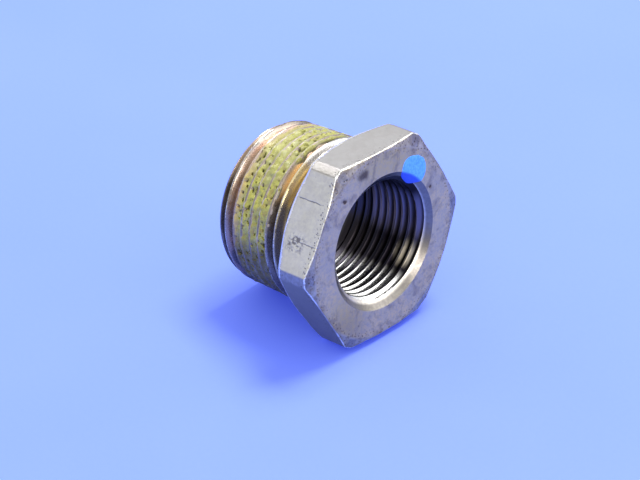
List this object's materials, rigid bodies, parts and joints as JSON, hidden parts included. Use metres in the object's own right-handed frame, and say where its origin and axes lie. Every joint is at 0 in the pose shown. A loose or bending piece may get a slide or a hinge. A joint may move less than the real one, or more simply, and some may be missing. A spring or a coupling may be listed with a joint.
{
  "type": "hex reducing bushing",
  "caption": "Hexagon-headed steel pipe bushing: tapered male thread with cured sealant, smaller tapered female thread through its head, blue paint spot on the face.",
  "frame": {"origin": "centre of the hexagon's front face, where the smaller pipe screws in", "axes": "+X runs along the bore, out of the female port; the hexagon has flats at +Z and -Z and corners at +Y and -Y"},
  "size_m": [0.0288, 0.0428, 0.0382],
  "materials": {
    "steel": "turned and lightly oxidised, worn bright on its edges",
    "sealant": "cured, lumpy, slightly glossy",
    "paint": "paint-marker dot, semi-gloss"
  },
  "bodies": {
    "root": {"bushing_body": "steel", "thread_sealant": "sealant", "paint_mark": "paint"}
  },
  "joints": []
}
